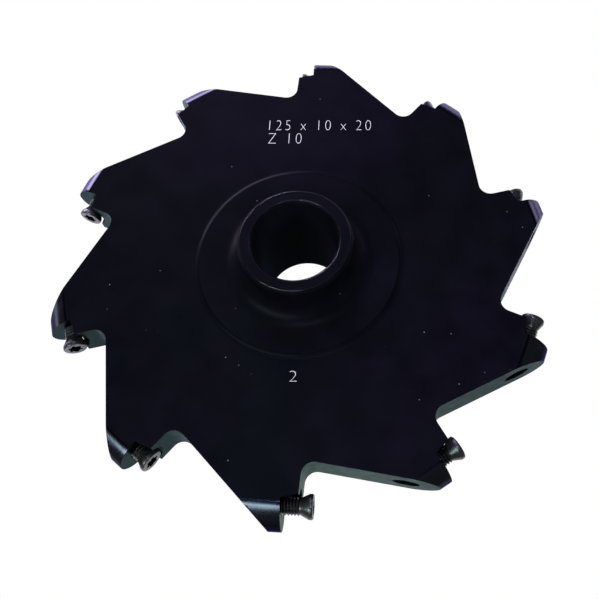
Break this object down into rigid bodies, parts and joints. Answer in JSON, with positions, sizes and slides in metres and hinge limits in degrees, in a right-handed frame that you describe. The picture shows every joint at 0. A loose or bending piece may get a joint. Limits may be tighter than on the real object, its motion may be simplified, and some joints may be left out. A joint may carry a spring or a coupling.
{
  "type": "side and face cutter",
  "caption": "Side and face milling cutter body for clamped inserts, with a through bore in a raised hub and its clamping screws fitted, inserts left out.",
  "frame": {"origin": "bottom centre: on the bore's axis, in the plane of the hub's rear end, on which the cutter stands", "axes": "+Z along the bore's axis from the rear face towards the front face, +X and +Y across the disc; the teeth point anticlockwise seen from +Z"},
  "size_m": [0.1226, 0.1222, 0.0334],
  "materials": {
    "blackened_steel": "turned and milled steel, blackened",
    "screw_steel": "gunmetal grey"
  },
  "bodies": {
    "root": {"cutter_body": "blackened_steel", "clamp_screw_01": "screw_steel", "clamp_screw_02": "screw_steel", "clamp_screw_03": "screw_steel", "clamp_screw_04": "screw_steel", "clamp_screw_05": "screw_steel", "clamp_screw_06": "screw_steel", "clamp_screw_07": "screw_steel", "clamp_screw_08": "screw_steel", "clamp_screw_09": "screw_steel", "clamp_screw_10": "screw_steel"}
  },
  "joints": []
}
